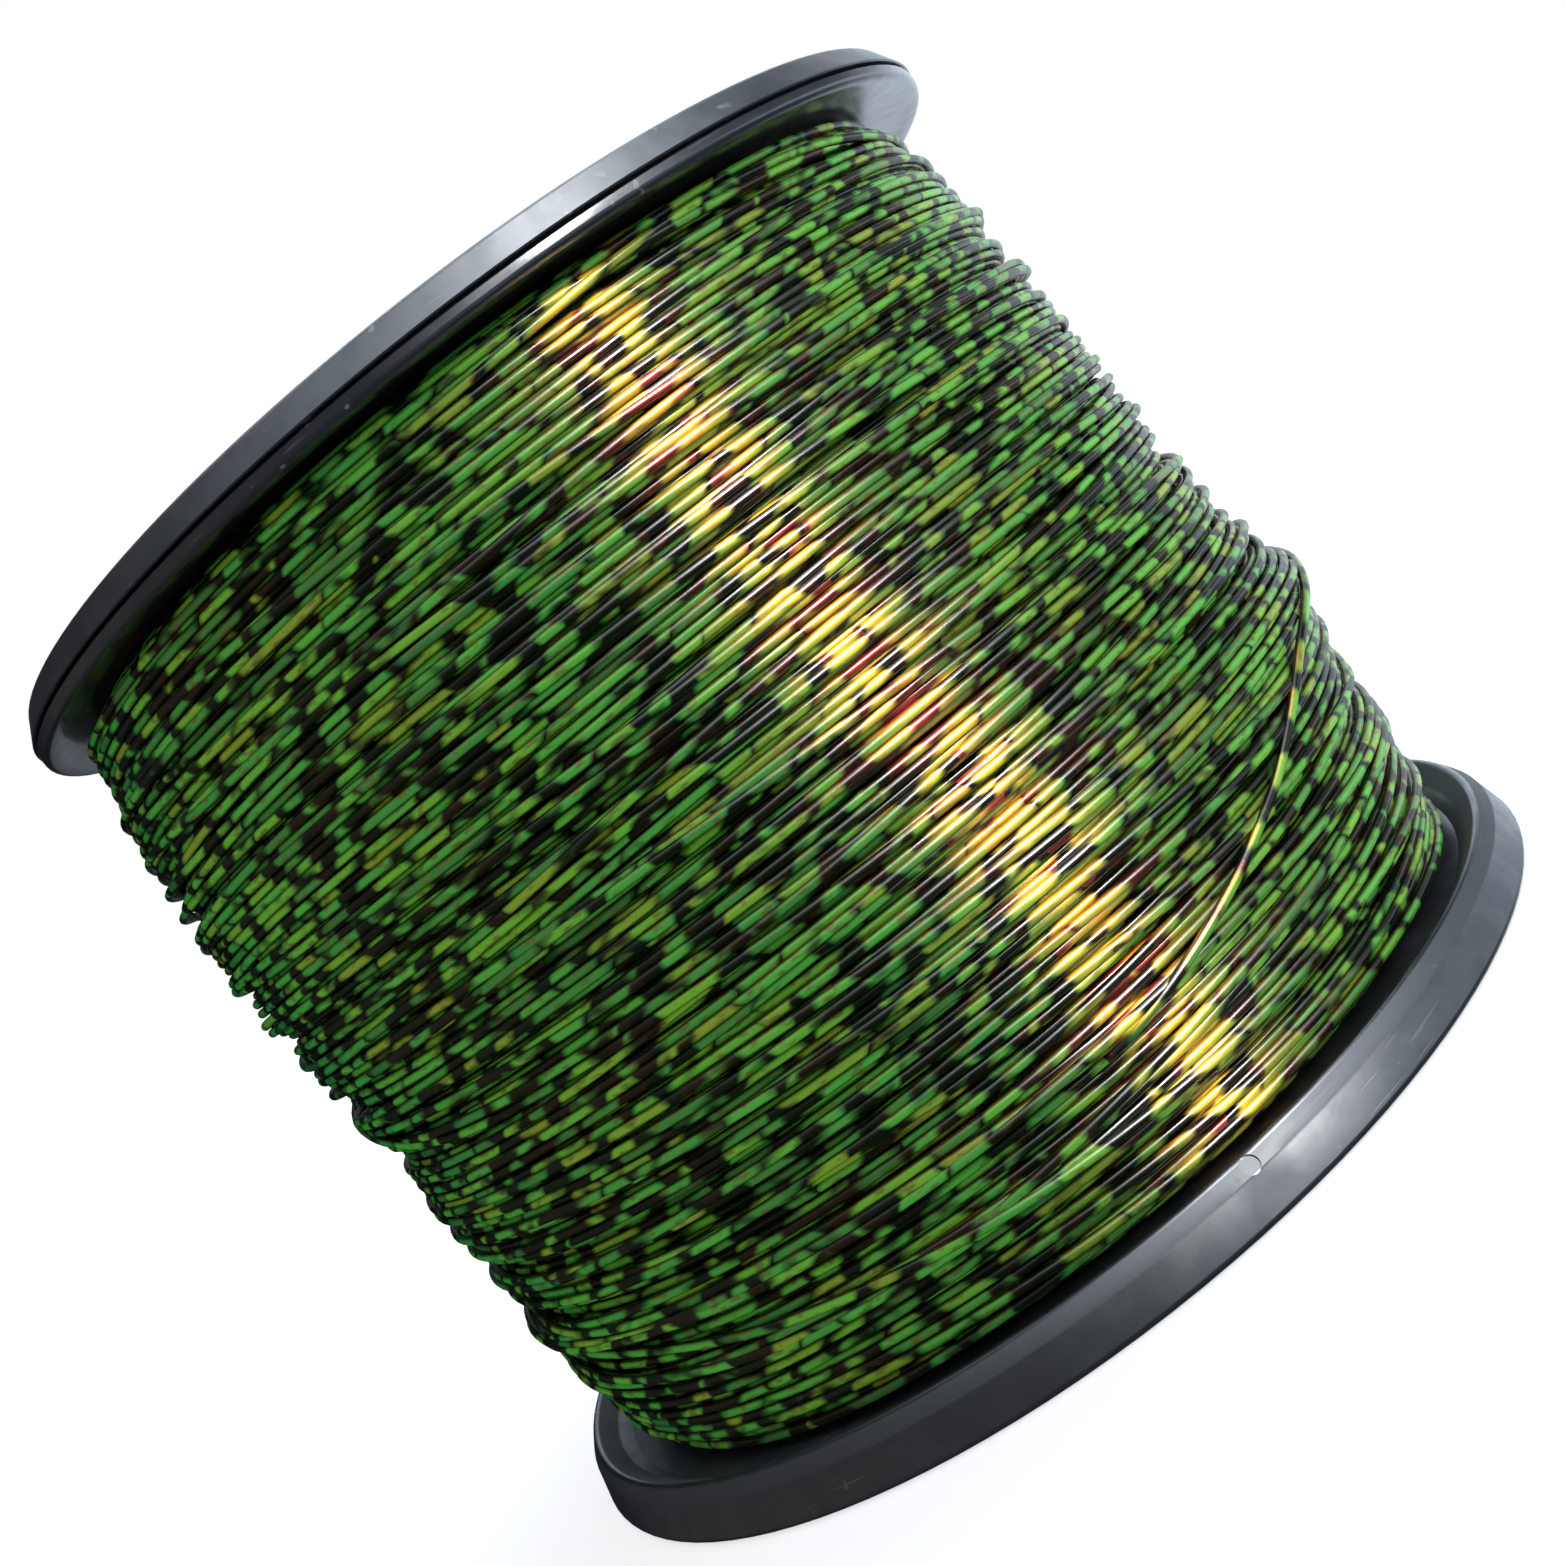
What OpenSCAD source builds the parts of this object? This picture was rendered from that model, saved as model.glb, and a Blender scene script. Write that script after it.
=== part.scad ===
// Bulk spool of fishing line.
// The spool stands on its lower flange: the axis is +Z and the floor is z = 0.
// Two moulded halves make the drum and both flanges. A pop-up cap over the upper flange
// pinches the line's end. The drum is full of line: a core of inner layers, one outer layer
// and a single strand that lies slantwise over it.

/* [Spool] */
// Outer diameter of the lower flange
flange_d = 90; // [80:1:110]
// How much narrower the upper flange is
flange_step = 2; // [0:0.5:3]
// Overall height, outer face to outer face
spool_h = 75; // [60:1:100]
// Height of a flange's rim, without the lower lip
rim_t = 3.5; // [3.2:0.1:5]
// Thickness of a flange's web
web_t = 1.2; // [1:0.1:1.4]
// Depth of the outer recess inside the lower rim
lower_recess = 1; // [0.6:0.1:1.2]
// Width of the rim where it stands on the floor
rim_w = 2.6; // [2:0.1:4]
// Radius of a rim's outer edge
edge_r = 0.6; // [0.4:0.1:0.8]
// Radius of the upper rim's lip beside the line
lip_r = 0.5; // [0.3:0.1:0.6]
// Width of the lower lip's slanting face
lip_face = 1.1; // [0.8:0.1:1.4]
// How far that face is turned up, in degrees
lip_tilt = 35; // [25:5:45]
// Radius of the lower lip's crest
crest_r = 0.3; // [0.2:0.05:0.4]
// How far the lower lip stands in from the flange's full radius
lip_inset = 0.6; // [0.2:0.1:1]
// Width of the slope between the lip and the flat of the web
slope_w = 2.4; // [1.5:0.1:4]

/* [Drum and spindle sleeve] */
// Outer diameter of the drum
drum_d = 52; // [44:1:60]
// Wall of the drum
drum_wall = 1.8; // [1.4:0.1:2.4]
// Bore of the spindle sleeve
bore_d = 20; // [12:0.5:22]
// Wall of the spindle sleeve
sleeve_wall = 2; // [1.5:0.1:2.5]
// Thickness of a rib inside the drum
rib_t = 1.4; // [1:0.1:2]
// Number of ribs in each half
rib_count = 6; // [3:1:8]
// Length of the joint between the halves
joint_len = 4; // [3:0.5:8]
// Radial clearance of the joint between the halves
joint_clear = 0.05; // [0.02:0.01:0.1]

/* [Keeper cap] */
// Height of the cap's rim
cap_rim_t = 2.2; // [1.8:0.1:2.3]
// How much narrower the cap's rim is at its top
cap_taper = 0.3; // [0:0.1:0.5]
// Thickness of the cap's web
cap_web_t = 1.1; // [0.8:0.1:1.2]
// Depth of the label's recess in the cap
cap_recess = 0.5; // [0.3:0.1:0.6]
// Width of the seam between the cap's rim and the flange
seam = 0.25; // [0.15:0.05:0.4]
// How far the cap pops up
cap_travel = 2.5; // [1.5:0.1:4]
// Wall of the cap's snap collar
collar_wall = 1.6; // [1.2:0.1:2]
// Length of the snap collar
collar_len = 9; // [7:0.5:12]
// How far the collar's bead stands out
bead = 0.4; // [0.2:0.05:0.5]
// Height of the bead
bead_h = 1.2; // [0.8:0.1:1.6]
// Number of slots that make the collar springy
slot_count = 4; // [2:1:6]
// Width of each slot
slot_w = 1.6; // [1:0.1:2.5]
// Sliding clearance of the cap
slide_clear = 0.2; // [0.1:0.05:0.3]
// Gap between the cap's web and the flange at rest
seat_clear = 0.1; // [0.05:0.05:0.2]

/* [Gate mark] */
// Diameter of the sunk gate mark on the lower lip
gate_d = 1.3; // [0.8:0.1:2]
// Depth of the gate mark
gate_depth = 0.15; // [0.1:0.05:0.3]
// Angle of the gate mark round the spool
gate_angle = -79; // [-180:1:180]

/* [Labels and tape] */
// Thickness of a paper label
label_t = 0.2; // [0.1:0.05:0.3]
// Gap between a label's edge and the rim round it
label_margin = 1.5; // [0.5:0.1:4]
// Thickness of the tape that holds the first turns
tape_t = 0.12; // [0.05:0.01:0.2]
// Width of the tape along the drum
tape_w = 18; // [10:1:30]
// Angle of drum that the tape covers
tape_arc = 60; // [20:5:120]

/* [Line] */
// Diameter of the line
line_d = 0.7; // [0.3:0.05:1]
// Radius of the wound line at mid-height
wound_r = 41.4; // [34:0.2:41.6]
// How much smaller the wound radius is beside a flange
end_drop = 1.6; // [0:0.1:3]
// Height over which the radius falls off beside a flange
end_fall = 9; // [4:0.5:15]
// How far the lump of crossed turns stands out
lump = 1.8; // [0:0.1:2]
// How far the broad swelling above mid-height stands out
swell = 1.5; // [0:0.1:2]
// How far the wound line leans towards the swelling at the top and away from it at the foot
lean = 0.8; // [0:0.1:1]
// Number of wraps in the outer layer, each a band of turns side by side
wraps = 24; // [8:1:24]
// Gap between neighbouring wraps
wrap_gap = 0.5; // [0.45:0.05:1]
// Space between the lowest wrap and the lower flange
lower_space = 1.2; // [0.3:0.1:3]
// Space between the highest wrap and the upper flange
upper_space = 0.4; // [0.3:0.1:3]
// Clearance between the inner layers and what they lie on
core_clear = 0.25; // [0.2:0.05:0.5]

/* [Hidden] */
$fn = 96;
eps = 0.01;

black_plastic = [0.10, 0.11, 0.12];
paper = [0.88, 0.87, 0.83];
tape_film = [0.78, 0.72, 0.55];
green_line = [0.17, 0.38, 0.12];
dark_line = [0.10, 0.20, 0.08];

// Flanges: heights of the faces that meet the line and the cap.
flange_r = flange_d / 2;
lip_outer_r = flange_r - lip_inset;
lip_inner_r = lip_outer_r - 2 * lip_r;
web_r = lip_inner_r - slope_w;
rim_inner_r = flange_r - rim_w;
narrower = flange_step / 2;
upper_r = flange_r - narrower;
lower_face = lower_recess + web_t;
cap_web_low = spool_h - cap_recess - cap_web_t;
upper_web_top = cap_web_low - seat_clear;
upper_face = upper_web_top - web_t;
cap_rim_low = spool_h - cap_rim_t;
upper_rim_top = cap_rim_low - seam;
upper_lip = spool_h - rim_t;
upper_lip_r = min(lip_r, upper_rim_top - upper_lip - 0.2);
lip_low = rim_t - 0.5;
lip_end_r = lip_outer_r - lip_face * sin(lip_tilt);
lip_end = lip_low + lip_face * cos(lip_tilt);

// Drum, sleeve and the joint between the halves.
drum_r = drum_d / 2;
drum_inner_r = drum_r - drum_wall;
spigot_r = (drum_r + drum_inner_r) / 2;
bore_r = bore_d / 2;
sleeve_r = bore_r + sleeve_wall;
mid_z = (lower_face + upper_face) / 2;
sleeve_top = spool_h - cap_recess / 2;
foot_r = sleeve_r + sleeve_wall;
rib_low_top = mid_z - joint_len;
rib_foot = 0.2;

// Snap collar of the cap and its socket in the upper half.
collar_inner_r = sleeve_r + slide_clear;
collar_outer_r = collar_inner_r + collar_wall;
socket_r = collar_outer_r + slide_clear;
bead_r = collar_outer_r + bead;
recess_r = bead_r + slide_clear;
socket_outer_r = recess_r + collar_wall;
collar_end = cap_web_low - collar_len;
recess_low = collar_end - slide_clear;
recess_top = collar_end + bead_h + cap_travel + seat_clear;
socket_floor_t = web_t;
socket_bottom = recess_low - socket_floor_t;
cap_clear_r = rim_inner_r - narrower - 0.6;
cap_inner_r = cap_clear_r + slide_clear;
cap_top_r = upper_r - lip_inset - cap_taper;
slot_len = collar_len * 0.6;

// Wound line: one wrap is a band of turns, drawn as a tube.
wound_low = lower_face + lower_space;
wound_high = upper_face - upper_space;
pitch = (wound_high - wound_low + wrap_gap) / (wraps + 1);
wrap_d = pitch - wrap_gap;
wrap_r = wrap_d / 2;
rings_per_wrap = 24;
wrap_sides = 6;
bend_r = 1.2 * wrap_d;
bend_steps = 4;
lump_z = lower_face + 0.33 * (upper_face - lower_face);
lump_h = 5.4;
lump_angle = -12;
swell_z = lower_face + 0.67 * (upper_face - lower_face);
swell_h = 13;
swell_angle = -165;
core_gap = 0.1;

// Radius of the wound surface at an angle round the spool and a height.
function fall(d) = end_drop * exp(-pow(d / end_fall * 1.6, 2));
function rise(much, a, z, at_z, high, at_angle) =
    much * exp(-pow((z - at_z) / high, 2)) * (0.55 + 0.45 * cos(a - at_angle));
function wound_at(a, z) =
    wound_r - fall(z - lower_face) - fall(upper_face - z)
    + rise(lump, a, z, lump_z, lump_h, lump_angle)
    + rise(swell, a, z, swell_z, swell_h, swell_angle)
    + lean * (z - mid_z) / (upper_face - mid_z) * cos(a - swell_angle);

// Points of the outer layer: a helix whose two ends turn in and run square into the core.
turn_count = wraps * rings_per_wrap;
function wrap_angle(i) = i * 360 / rings_per_wrap;
function wrap_height(i) = wound_low + wrap_r + i * pitch / rings_per_wrap;
function wrap_radius(i) = wound_at(wrap_angle(i), wrap_height(i)) - wrap_r;
function wrap_point(i) =
    let (a = wrap_angle(i), r = wrap_radius(i)) [r * cos(a), r * sin(a), wrap_height(i)];
// A point of an end: run along the turn by x, in towards the axis by y.
function end_point(i, way, x, y) =
    let (a = wrap_angle(i), r = wrap_radius(i) - y)
    [r * cos(a) - way * x * sin(a), r * sin(a) + way * x * cos(a), wrap_height(i)];
function end_bend(i, way) =
    concat([for (k = [1:bend_steps])
            let (a = 90 * k / bend_steps) end_point(i, way, bend_r * sin(a), bend_r * (1 - cos(a)))],
           [for (k = [1:2]) end_point(i, way, bend_r, bend_r + wrap_d * k / 2)]);
function reversed(v) = [for (k = [len(v) - 1:-1:0]) v[k]];
wrap_path = concat(reversed(end_bend(0, -1)),
                   [for (i = [0:turn_count]) wrap_point(i)],
                   end_bend(turn_count, 1));

// The slanting strand: [angle, height, lift above the wound surface]. It comes out between
// the crossed turns of the lump and goes in again between the turns lower down.
tail_route = [[-1, 26.1, -0.4], [-7, 25.8, 0], [-13, 25.4, 0.1], [-20, 24.8, 0.1],
              [-26, 24.1, 0.1], [-32, 23.4, 0.1], [-37, 22.5, 0.1], [-41, 21.4, 0.1],
              [-46, 19.8, 0.1], [-52, 18.0, 0.1], [-57, 16.9, 0.1], [-62, 15.8, 0.1],
              [-67, 14.9, 0.1], [-72, 14.1, 0.1], [-77, 13.4, 0], [-82, 12.9, -0.4]];
tail_steps = 3;
tail_sides = 8;
function route_at(k) = tail_route[max(0, min(len(tail_route) - 1, k))];
function smooth(a, b, c, d, t) =
    0.5 * (2 * b + (c - a) * t + (2 * a - 5 * b + 4 * c - d) * t * t
           + (3 * b - a - 3 * c + d) * t * t * t);
function tail_point(p) =
    let (r = wound_at(p[0], p[1]) + line_d / 2 + p[2]) [r * cos(p[0]), r * sin(p[0]), p[1]];
tail_path = concat(
    [for (k = [0:len(tail_route) - 2]) for (s = [0:tail_steps - 1])
        tail_point(smooth(route_at(k - 1), route_at(k), route_at(k + 1), route_at(k + 2),
                          s / tail_steps))],
    [tail_point(tail_route[len(tail_route) - 1])]);

// A tube swept along a path that runs nearly level: its rings stand square to the path.
function unit(v) = v / norm(v);
function path_way(path, i) =
    unit(path[min(i + 1, len(path) - 1)] - path[max(i - 1, 0)]);
function ring(path, i, r, sides) =
    let (t = path_way(path, i), side = unit(cross(t, [0, 0, 1])), up = cross(side, t))
    [for (k = [0:sides - 1]) let (a = 360 * k / sides) path[i] + r * (cos(a) * side + sin(a) * up)];

module tube(path, r, sides) {
    n = len(path);
    walls = [for (i = [0:n - 2]) for (k = [0:sides - 1])
             let (a = i * sides + k, b = i * sides + (k + 1) % sides)
             each [[a, b, b + sides], [a, b + sides, a + sides]]];
    caps = [for (k = [1:sides - 2])
            each [[0, k + 1, k], [(n - 1) * sides, (n - 1) * sides + k, (n - 1) * sides + k + 1]]];
    polyhedron(points = [for (i = [0:n - 1]) each ring(path, i, r, sides)],
               faces = concat(walls, caps));
}

// Least gap of the outer layer to itself, on its points.
function gap_from(i) =
    min([for (j = [i + rings_per_wrap - 6:1:min(i + rings_per_wrap + 6, len(wrap_path) - 1)])
         norm(wrap_path[i] - wrap_path[j])]) - wrap_d;
least_gap = min([for (i = [0:len(wrap_path) - rings_per_wrap - 1]) gap_from(i)]);
echo(least_gap = least_gap);
assert(least_gap > 0.4, "the wraps of line are too close together");

// Points of a rounded edge: an arc about [x, y] from one angle to another.
corner_steps = 8;
function corner(x, y, r, from, to) =
    [for (k = [0:corner_steps])
     let (a = from + (to - from) * k / corner_steps) [x + r * cos(a), y + r * sin(a)]];

module ring_of(inner, outer, low, high) {
    translate([inner, low]) square([outer - inner, high - low]);
}

module ribs(from_r, to_r, low, high) {
    for (k = [0:rib_count - 1])
        rotate([0, 0, (k + 0.5) * 360 / rib_count])
            translate([from_r, -rib_t / 2, low])
                cube([to_r - from_r, rib_t, high - low]);
}

// Lower half: rim, web, drum wall with its spigot, and the sleeve that takes a spindle.
module lower_section() {
    polygon(concat([[rim_inner_r, 0]],
                   corner(flange_r - edge_r, edge_r, edge_r, -90, 0),
                   [[lip_outer_r, lip_low]],
                   corner(lip_end_r - crest_r * cos(lip_tilt), lip_end - crest_r * sin(lip_tilt),
                          crest_r, lip_tilt, 150),
                   [[web_r, lower_face], [web_r, lower_recess], [rim_inner_r, lower_recess]]));
    ring_of(bore_r, web_r + eps, lower_recess, lower_face);
    ring_of(drum_inner_r, drum_r, lower_face - eps, mid_z);
    ring_of(drum_inner_r, spigot_r - joint_clear, mid_z - eps, mid_z + joint_len);
    ring_of(bore_r, sleeve_r, 0, sleeve_top);
    ring_of(bore_r, foot_r, 0, lower_recess + eps);
}

module lower_half() {
    color(black_plastic) difference() {
        union() {
            rotate_extrude() lower_section();
            ribs(sleeve_r - rib_foot, drum_inner_r + rib_foot, lower_face - eps, rib_low_top);
        }
        rotate([0, 0, gate_angle]) translate([lip_end_r, 0, lip_end])
            rotate([0, 90 - lip_tilt, 0]) translate([lip_face / 2, 0, -gate_depth])
                cylinder(d = gate_d, h = gate_depth + 1);
    }
}

// Upper half: lip, web, drum wall with the joint's socket, and the socket for the cap.
module upper_section() {
    lip = upper_r - 0.1;
    web = web_r - narrower;
    polygon(concat([[lip_inner_r - narrower, upper_lip]],
                   corner(lip - upper_lip_r, upper_lip + upper_lip_r, upper_lip_r, -90, 0),
                   [[lip, upper_rim_top - 0.1], [lip - 0.1, upper_rim_top],
                    [cap_clear_r, upper_rim_top], [cap_clear_r, upper_web_top],
                    [web, upper_web_top], [web, upper_face]]));
    ring_of(socket_r, web + eps, upper_face, upper_web_top);
    ring_of(drum_inner_r, drum_r, mid_z + joint_len + joint_clear, upper_face + eps);
    ring_of(spigot_r, drum_r, mid_z, mid_z + joint_len + joint_clear + eps);
    ring_of(recess_r, socket_outer_r, socket_bottom, recess_top + eps);
    ring_of(socket_r, socket_outer_r, recess_top, upper_web_top);
    ring_of(sleeve_r + joint_clear, socket_outer_r, socket_bottom, recess_low);
}

module upper_half() {
    color(black_plastic) {
        rotate_extrude() upper_section();
        ribs(socket_outer_r - rib_foot, drum_inner_r + rib_foot, socket_bottom,
             upper_face + eps);
    }
}

// Keeper cap: rim and web of one piece, with a slotted collar whose bead snaps into the socket.
module cap_section() {
    inside = rim_inner_r - narrower;
    web = web_r - narrower;
    polygon(concat([[cap_inner_r, cap_rim_low], [upper_r - 0.1, cap_rim_low],
                    [upper_r, cap_rim_low + 0.1]],
                   corner(cap_top_r - edge_r, spool_h - edge_r, edge_r, 30, 90),
                   [[inside, spool_h], [inside, spool_h - cap_recess],
                    [web, spool_h - cap_recess], [web, cap_web_low],
                    [cap_inner_r, cap_web_low]]));
    ring_of(collar_inner_r, web + eps, cap_web_low, spool_h - cap_recess);
    ring_of(collar_inner_r, collar_outer_r, collar_end, spool_h);
    polygon([[collar_outer_r - eps, collar_end], [bead_r - bead / 2, collar_end],
             [bead_r, collar_end + bead / 2], [bead_r, collar_end + bead_h],
             [collar_outer_r - eps, collar_end + bead_h]]);
}

module keeper_cap() {
    color(black_plastic) difference() {
        rotate_extrude() cap_section();
        for (k = [0:slot_count - 1])
            rotate([0, 0, k * 360 / slot_count])
                translate([sleeve_r, -slot_w / 2, collar_end - 1])
                    cube([recess_r - sleeve_r, slot_w, slot_len + 1]);
    }
}

// Labels: plain paper discs in the recess of each outer face.
module label(outer, low) {
    color(paper) rotate_extrude()
        ring_of(foot_r + label_margin, outer - label_margin, low, low + label_t);
}
module lower_label() { label(rim_inner_r, lower_recess - label_t); }
module upper_label() { label(rim_inner_r - narrower, spool_h - cap_recess); }

// Tape on the drum, under the first turns.
module start_tape() {
    color(tape_film) translate([0, 0, mid_z / 2 - tape_w / 2])
        rotate_extrude(angle = tape_arc)
            ring_of(drum_r, drum_r + tape_t, 0, tape_w);
}

// Core: the inner layers, plain, under the outer layer. Two pockets take the outer layer's ends.
core_low = lower_face + core_gap;
core_high = upper_face - core_gap;
core_steps = 12;
function lowest_at(z) = min([for (a = [0:15:345]) wound_at(a, z)]);
function core_height(k) = core_low + (core_high - core_low) * k / core_steps;
function core_radius(z) =
    (lowest_at(z) - wrap_r) * cos(180 / rings_per_wrap) - wrap_r - core_gap;

module end_pocket(i, way) {
    reach = bend_r + wrap_r + core_clear;
    depth = bend_r + wrap_d + core_gap;
    rotate([0, 0, wrap_angle(i)]) scale([1, way, 1])
        translate([wrap_radius(i) - depth, wrap_r / 4, wrap_height(i) - wrap_r - core_clear])
            cube([depth + wrap_d, reach - wrap_r / 4, wrap_d + 2 * core_clear]);
}

module line_core() {
    color(dark_line) difference() {
        rotate_extrude()
            polygon(concat([[drum_r + core_clear, core_low]],
                           [for (k = [0:core_steps]) [core_radius(core_height(k)), core_height(k)]],
                           [[drum_r + core_clear, core_high]]));
        end_pocket(0, -1);
        end_pocket(turn_count, 1);
    }
}

module line_winding() { color(green_line) tube(wrap_path, wrap_r, wrap_sides); }

module line_tail() { color(green_line) tube(tail_path, line_d / 2, tail_sides); }

lower_half();
upper_half();
keeper_cap();
lower_label();
upper_label();
start_tape();
line_core();
line_winding();
line_tail();
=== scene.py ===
import math

import bpy
import numpy as np
from mathutils import Matrix, Vector


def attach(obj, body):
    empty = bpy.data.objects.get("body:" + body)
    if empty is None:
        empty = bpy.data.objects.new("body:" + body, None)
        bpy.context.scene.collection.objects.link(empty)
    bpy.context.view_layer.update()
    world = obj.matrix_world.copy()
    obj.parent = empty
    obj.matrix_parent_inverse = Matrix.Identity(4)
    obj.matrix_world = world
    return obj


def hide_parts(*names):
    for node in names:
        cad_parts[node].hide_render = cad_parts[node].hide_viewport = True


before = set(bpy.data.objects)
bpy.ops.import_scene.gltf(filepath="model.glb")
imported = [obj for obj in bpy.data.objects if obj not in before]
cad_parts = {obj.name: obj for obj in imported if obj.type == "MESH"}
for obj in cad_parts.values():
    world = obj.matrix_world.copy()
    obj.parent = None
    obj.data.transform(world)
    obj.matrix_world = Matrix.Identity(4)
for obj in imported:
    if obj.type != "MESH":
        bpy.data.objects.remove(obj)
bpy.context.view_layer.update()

# ------------------------------------------------------------------ camera
# The spool stands upright; the camera is close, level with the upper part of the winding,
# and rolled over to one side, so that the spool leans across the picture.
LENS, FRONT, EYE_HEIGHT = 41.77, 0.15078, 0.04619
YAW, PITCH, ROLL = 0.00257, -0.00482, -0.67031
SHIFT_RIGHT, SHIFT_UP = 0.053, -0.058

view = bpy.data.cameras.new("camera")
view.lens, view.clip_start, view.clip_end = LENS, 0.005, 20.0
view.shift_x, view.shift_y = SHIFT_RIGHT, SHIFT_UP
camera = bpy.data.objects.new("camera", view)
bpy.context.scene.collection.objects.link(camera)
bpy.context.scene.camera = camera
ahead = Vector((math.sin(YAW) * math.cos(PITCH), math.cos(YAW) * math.cos(PITCH),
                math.sin(PITCH)))
level = Vector((math.cos(YAW), -math.sin(YAW), 0))
upright = level.cross(ahead)
across = math.cos(ROLL) * level + math.sin(ROLL) * upright
over = math.cos(ROLL) * upright - math.sin(ROLL) * level
camera.matrix_world = Matrix(((across.x, over.x, -ahead.x, 0),
                              (across.y, over.y, -ahead.y, -FRONT),
                              (across.z, over.z, -ahead.z, EYE_HEIGHT),
                              (0, 0, 0, 1)))

# ------------------------------------------------------------------ loose strand
# One strand of the nylon line lies slantwise over the winding: it comes out between the
# crossed turns of the lump and goes in again between the turns lower down.
LINE_D = 0.0007
LOWER_FACE, UPPER_FACE = 0.0022, 0.0721
MID_Z = (LOWER_FACE + UPPER_FACE) / 2

# Angle in degrees, height in mm, and height over the wound surface in mm.
ROUTE = np.array([[-1, 26.1, -0.4], [-7, 25.8, 0], [-13, 25.4, 0.1], [-20, 24.8, 0.1],
                  [-26, 24.1, 0.1], [-32, 23.4, 0.1], [-37, 22.5, 0.1], [-41, 21.4, 0.1],
                  [-46, 19.8, 0.1], [-52, 18.0, 0.1], [-57, 16.9, 0.1], [-62, 15.8, 0.1],
                  [-67, 14.9, 0.1], [-72, 14.1, 0.1], [-77, 13.4, 0], [-82, 12.9, -0.4]])


def wound_radius(angle, z, leaning=0.8):
    """Radius of the wound surface, in metres, at an angle in radians and a height: 41.4 mm,
    less a bell-shaped fall of 1.6 mm at each flange, plus two bell-shaped rises that fade
    round the spool, plus a lean that grows with the height."""
    z = z * 1000
    low, high, middle = LOWER_FACE * 1000, UPPER_FACE * 1000, MID_Z * 1000
    fall = 1.6 * (np.exp(-((z - low) * 1.6 / 9) ** 2) + np.exp(-((high - z) * 1.6 / 9) ** 2))
    lump = 1.8 * np.exp(-((z - low - 0.33 * (high - low)) / 5.4) ** 2)
    swell = 1.5 * np.exp(-((z - low - 0.67 * (high - low)) / 13) ** 2)
    lump = lump * (0.55 + 0.45 * np.cos(angle - math.radians(-12)))
    side = np.cos(angle - math.radians(-165))
    lean = leaning * (z - middle) / (high - middle) * side
    return (41.4 - fall + lump + swell * (0.55 + 0.45 * side) + lean) / 1000


def through(points, steps):
    """A Catmull-Rom curve through the rows of points: each span's cubic leaves its first point
    and reaches its second along the line that joins their neighbours."""
    a, b, c, d = (points[np.clip(np.arange(-1, len(points) - 2) + k, 0, len(points) - 1)]
                  for k in range(4))
    t = (np.arange(steps) / steps)[None, :, None]
    a, b, c, d = (p[:, None, :] for p in (a, b, c, d))
    spans = 0.5 * (2 * b + (c - a) * t + (2 * a - 5 * b + 4 * c - d) * t ** 2
                   + (3 * b - a - 3 * c + d) * t ** 3)
    return np.vstack([spans.reshape(-1, points.shape[1]), points[-1:]])


def put_in_mesh(name, points, quads, ends, maps, material):
    """A mesh object from whole arrays: the points, the four-cornered faces, the faces with
    other corner counts, and one array of corner places for each texture map."""
    mesh = bpy.data.meshes.new(name)
    corners = np.concatenate([quads.ravel()] + [np.asarray(end) for end in ends])
    counts = np.concatenate([np.full(len(quads), 4), [len(end) for end in ends]]).astype(np.int32)
    starts = np.concatenate([[0], np.cumsum(counts)[:-1]]).astype(np.int32)
    mesh.vertices.add(len(points))
    mesh.vertices.foreach_set("co", points.astype(np.float32).ravel())
    mesh.loops.add(len(corners))
    mesh.loops.foreach_set("vertex_index", corners.astype(np.int32))
    mesh.polygons.add(len(counts))
    mesh.polygons.foreach_set("loop_start", starts)
    mesh.polygons.foreach_set("loop_total", counts)
    mesh.polygons.foreach_set("use_smooth", np.ones(len(counts), bool))
    for title, places in maps.items():
        layer = mesh.uv_layers.new(name=title)
        layer.data.foreach_set("uv", places.astype(np.float32).ravel())
    mesh.update(calc_edges=True)
    mesh.validate()
    mesh.materials.append(material)
    piece = bpy.data.objects.new(name, mesh)
    bpy.context.scene.collection.objects.link(piece)
    return piece


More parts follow.
